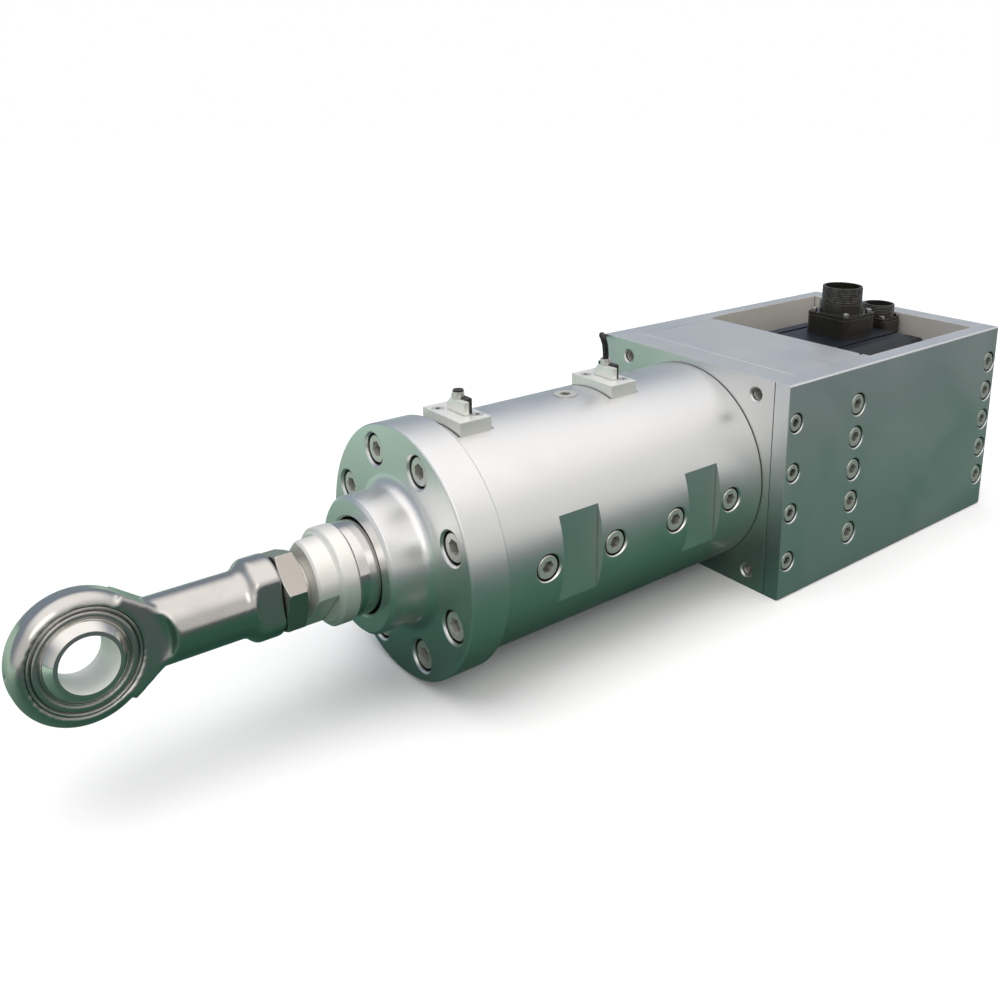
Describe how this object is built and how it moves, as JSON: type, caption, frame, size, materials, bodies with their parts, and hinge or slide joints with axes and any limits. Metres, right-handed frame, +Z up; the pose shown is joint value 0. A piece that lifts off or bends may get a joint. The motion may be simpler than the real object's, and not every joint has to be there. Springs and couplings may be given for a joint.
{
  "type": "electric_linear_actuator",
  "caption": "Electric linear actuator with a plate-built drive box, an inline servo motor, a ball screw in a turned tube and a rod with a spherical rod end",
  "frame": {"origin": "on the rod's axis, at the front face of the drive box where the tube starts", "axes": "+X along the rod's axis, the way the rod extends; +Y across the box, toward the side with the guide screws in the tube; +Z up, from the box's lower edges to its open top"},
  "size_m": [0.791, 0.3078, 0.2038],
  "materials": {
    "plate_aluminium": "satin anodised plate, fine milled grain",
    "turned_aluminium": "satin turned, fine circular grain",
    "screw_steel": "bright zinc-plated steel",
    "plain_steel": "machined bare steel",
    "eye_steel": "bright forged and machined steel",
    "rod_chrome": "ground and hard-chromed",
    "bush_bronze": "plain bearing bronze",
    "seal_rubber": "matte seal rubber",
    "motor_black": "black satin coating",
    "connector_black": "black plating, bright where it is worn",
    "insert_plastic": "black moulded plastic",
    "cable_sheath": "glossy black cable sheath"
  },
  "bodies": {
    "housing": {"side_plate_left": "plate_aluminium", "side_plate_right": "plate_aluminium", "front_plate": "plate_aluminium", "motor_plate": "plate_aluminium", "rear_plate": "plate_aluminium", "top_cover": "plate_aluminium", "bottom_cover": "plate_aluminium", "front_column_screws": "screw_steel", "box_screws": "screw_steel", "tube": "turned_aluminium", "tube_screws": "screw_steel", "guide_key": "plain_steel", "guide_screws": "screw_steel", "port_plug": "screw_steel", "front_flange": "turned_aluminium", "flange_screws": "screw_steel", "guide_bush": "bush_bronze", "rod_wiper": "seal_rubber", "bearing_housing": "plain_steel", "housing_screws": "screw_steel", "bearing_outer_rings": "plain_steel", "motor_flange": "motor_black", "motor_body": "motor_black", "encoder_cover": "motor_black", "motor_screws": "screw_steel", "power_box": "motor_black", "power_shell": "connector_black", "power_insert": "insert_plastic", "encoder_box": "motor_black", "encoder_shell": "connector_black", "encoder_insert": "insert_plastic", "connector_screws": "screw_steel", "sensor_block_front": "plate_aluminium", "sensor_block_rear": "plate_aluminium", "sensor_front": "insert_plastic", "sensor_rear": "insert_plastic", "sensor_nuts": "screw_steel", "sensor_cap": "insert_plastic", "sensor_screws": "screw_steel", "sensor_cable": "cable_sheath", "sensor_cable_coil": "cable_sheath", "sensor_cable_plug": "insert_plastic"},
    "drive": {"ball_screw": "plain_steel", "lock_nut": "plain_steel", "bearing_inner_rings": "plain_steel", "bearing_balls_set": "screw_steel", "coupling_hub_screw": "turned_aluminium", "coupling_spider": "seal_rubber", "coupling_hub_motor": "turned_aluminium", "motor_shaft": "plain_steel"},
    "rod": {"carriage": "turned_aluminium", "ball_nut": "plain_steel", "nut_screws": "screw_steel", "piston_rod": "rod_chrome", "rod_adapter": "plain_steel", "jam_nut": "plain_steel", "rod_end": "eye_steel", "eye_race": "eye_steel"},
    "ball": {"eye_ball": "rod_chrome"}
  },
  "joints": [
    {"name": "rod_slide", "type": "slide", "parent": "housing", "child": "rod", "axis": [1, 0, 0], "range_m": [0, 0.13]},
    {"name": "drive_spin", "type": "hinge", "parent": "housing", "child": "drive", "pos_m": [0, 0, 0], "axis": [1, 0, 0], "range_deg": [-4680, 4680]},
    {"name": "ball_spin", "type": "hinge", "parent": "rod", "child": "ball", "pos_m": [0.459, 0, 0], "axis": [0, 0.9877, 0.1564], "continuous": true}
  ],
  "couplings": [
    {"joint": "drive_spin", "follows": "rod_slide", "rad_per_m": 628.32}
  ]
}
